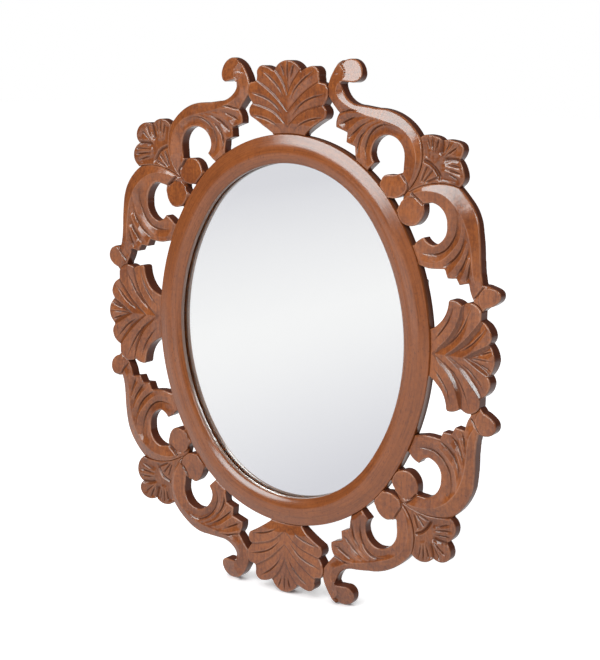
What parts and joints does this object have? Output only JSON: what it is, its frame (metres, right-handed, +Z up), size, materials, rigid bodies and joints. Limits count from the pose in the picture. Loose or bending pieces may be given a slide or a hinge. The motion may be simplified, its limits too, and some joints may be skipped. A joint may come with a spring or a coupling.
{
  "type": "oval wall mirror",
  "caption": "Carved wooden wall mirror: moulded oval ring with silvered glass, pierced border of palmettes, leaf scrolls and shells, turn buttons and D-ring hangers behind.",
  "frame": {"origin": "centre of the oval on the wall plane, which the backs of the pads touch", "axes": "+X to the right seen from the front, +Z up, -Y out of the mirror towards the viewer, +Y into the wall"},
  "size_m": [0.5292, 0.0251, 0.6094],
  "materials": {
    "ring_wood": "reddish brown stain, satin lacquer",
    "carved_wood": "reddish brown stain, satin lacquer, dark in the carving",
    "dowel_wood": "bare beech",
    "glass": "clear float glass",
    "silver": "silver coat, painted behind",
    "hardboard": "bare hardboard",
    "button_brass": "brass plated",
    "hanger_steel": "zinc plated",
    "screw_steel": "zinc plated",
    "pad_rubber": "matt"
  },
  "bodies": {
    "frame": {"backing_board": "hardboard", "border_dowels": "dowel_wood", "button_screws": "screw_steel", "crest_scroll_bottom_left": "carved_wood", "crest_scroll_bottom_right": "carved_wood", "crest_scroll_top_left": "carved_wood", "crest_scroll_top_right": "carved_wood", "hanger_screws": "screw_steel", "hanger_strap_left": "hanger_steel", "hanger_strap_right": "hanger_steel", "mirror_glass": "glass", "palmette_bottom": "carved_wood", "palmette_left": "carved_wood", "palmette_right": "carved_wood", "palmette_top": "carved_wood", "ring_bottom": "ring_wood", "ring_left": "ring_wood", "ring_right": "ring_wood", "ring_tongues": "dowel_wood", "ring_top": "ring_wood", "shell_bottom_left": "carved_wood", "shell_bottom_right": "carved_wood", "shell_pins": "dowel_wood", "shell_top_left": "carved_wood", "shell_top_right": "carved_wood", "side_scroll_bottom_left": "carved_wood", "side_scroll_bottom_right": "carved_wood", "side_scroll_top_left": "carved_wood", "side_scroll_top_right": "carved_wood", "silver_coat": "silver", "wall_pads": "pad_rubber"},
    "turn_button_top": {"turn_button_top": "button_brass"},
    "turn_button_bottom": {"turn_button_bottom": "button_brass"},
    "turn_button_top_right": {"turn_button_top_right": "button_brass"},
    "turn_button_top_left": {"turn_button_top_left": "button_brass"},
    "turn_button_bottom_right": {"turn_button_bottom_right": "button_brass"},
    "turn_button_bottom_left": {"turn_button_bottom_left": "button_brass"},
    "hanger_ring_left": {"hanger_ring_left": "hanger_steel"},
    "hanger_ring_right": {"hanger_ring_right": "hanger_steel"}
  },
  "joints": [
    {"name": "turn_button_top_turn", "type": "hinge", "parent": "frame", "child": "turn_button_top", "pos_m": [0, -0.0042, 0.2035], "axis": [0, 1, 0], "range_deg": [-180, 180]},
    {"name": "turn_button_bottom_turn", "type": "hinge", "parent": "frame", "child": "turn_button_bottom", "pos_m": [0, -0.0042, -0.2035], "axis": [0, 1, 0], "range_deg": [-180, 180]},
    {"name": "turn_button_top_right_turn", "type": "hinge", "parent": "frame", "child": "turn_button_top_right", "pos_m": [0.13728, -0.0042, 0.112], "axis": [0, 1, 0], "range_deg": [-180, 180]},
    {"name": "turn_button_top_left_turn", "type": "hinge", "parent": "frame", "child": "turn_button_top_left", "pos_m": [-0.13728, -0.0042, 0.112], "axis": [0, 1, 0], "range_deg": [-180, 180]},
    {"name": "turn_button_bottom_right_turn", "type": "hinge", "parent": "frame", "child": "turn_button_bottom_right", "pos_m": [0.13728, -0.0042, -0.112], "axis": [0, 1, 0], "range_deg": [-180, 180]},
    {"name": "turn_button_bottom_left_turn", "type": "hinge", "parent": "frame", "child": "turn_button_bottom_left", "pos_m": [-0.13728, -0.0042, -0.112], "axis": [0, 1, 0], "range_deg": [-180, 180]},
    {"name": "hanger_ring_left_swing", "type": "hinge", "parent": "frame", "child": "hanger_ring_left", "pos_m": [-0.16395, -0.0028, 0.075], "axis": [1, 0, 0], "range_deg": [0, 176]},
    {"name": "hanger_ring_right_swing", "type": "hinge", "parent": "frame", "child": "hanger_ring_right", "pos_m": [0.16395, -0.0028, 0.075], "axis": [1, 0, 0], "range_deg": [0, 176]}
  ]
}
